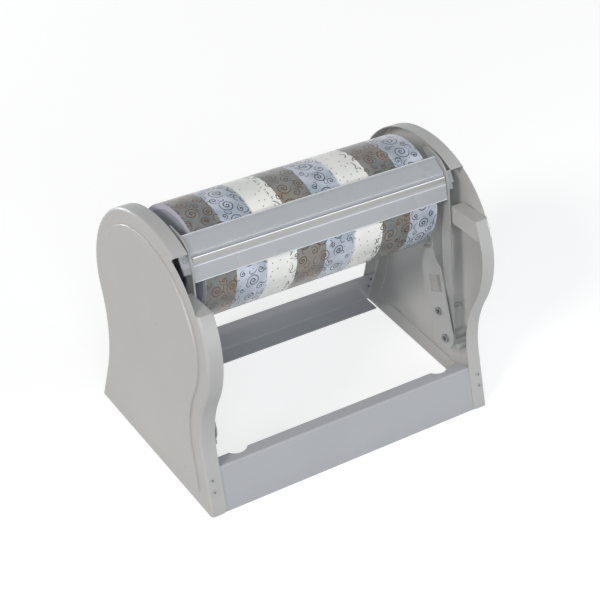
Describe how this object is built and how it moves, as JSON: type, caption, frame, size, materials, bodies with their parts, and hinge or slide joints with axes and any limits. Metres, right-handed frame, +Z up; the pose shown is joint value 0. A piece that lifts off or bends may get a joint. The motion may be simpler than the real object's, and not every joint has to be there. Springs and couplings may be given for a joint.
{
  "type": "gift wrap paper cutter",
  "caption": "Counter-top gift wrap roll holder: pressed end panels joined by rails, a paper roll on an axle and a swinging cutter bar that rests on the roll.",
  "frame": {"origin": "on the counter, at the centre of the footprint box", "axes": "+X along the roll from the left panel to the right one, -Y towards the customer, +Z up"},
  "size_m": [0.606, 0.4094, 0.449],
  "materials": {
    "panel_coat": "satin",
    "rail_coat": "satin",
    "arm_coat": "satin",
    "cutter_coat": "satin",
    "blade_steel": "polished",
    "zinc_steel": "satin",
    "gift_paper": "satin",
    "core_board": "matte",
    "plug_plastic": "matte",
    "nylon": "matte"
  },
  "bodies": {
    "frame": {"left_end_panel": "panel_coat", "right_end_panel": "panel_coat", "front_rail": "rail_coat", "back_rail": "rail_coat", "front_rail_screws": "zinc_steel", "back_rail_screws": "zinc_steel", "left_axle_bracket": "arm_coat", "right_axle_bracket": "arm_coat", "left_bracket_spacer": "zinc_steel", "right_bracket_spacer": "zinc_steel", "left_stop_pin": "zinc_steel", "right_stop_pin": "zinc_steel", "bracket_screws": "zinc_steel", "left_axle_bush": "nylon", "right_axle_bush": "nylon", "left_pivot_boss": "zinc_steel", "right_pivot_boss": "zinc_steel", "left_pivot_bolt": "zinc_steel", "right_pivot_bolt": "zinc_steel"},
    "roll": {"paper_roll": "gift_paper", "core_tube": "core_board", "left_core_plug": "plug_plastic", "right_core_plug": "plug_plastic", "roll_shaft": "zinc_steel", "left_shaft_collar": "zinc_steel", "right_shaft_collar": "zinc_steel"},
    "cutter": {"left_cutter_arm": "arm_coat", "right_cutter_arm": "arm_coat", "bar_carrier": "cutter_coat", "upper_plate": "cutter_coat", "lower_plate": "cutter_coat", "tear_blade": "blade_steel", "left_arm_lug": "arm_coat", "right_arm_lug": "arm_coat", "bar_end_screws": "zinc_steel", "left_pivot_bush": "nylon", "right_pivot_bush": "nylon"}
  },
  "joints": [
    {"name": "roll_spin", "type": "hinge", "parent": "frame", "child": "roll", "pos_m": [0, 0.048, 0.346], "axis": [1, 0, 0], "continuous": true},
    {"name": "cutter_swing", "type": "hinge", "parent": "frame", "child": "cutter", "pos_m": [0, -0.116, 0.114], "axis": [1, 0, 0], "range_deg": [0, 68.5]}
  ]
}
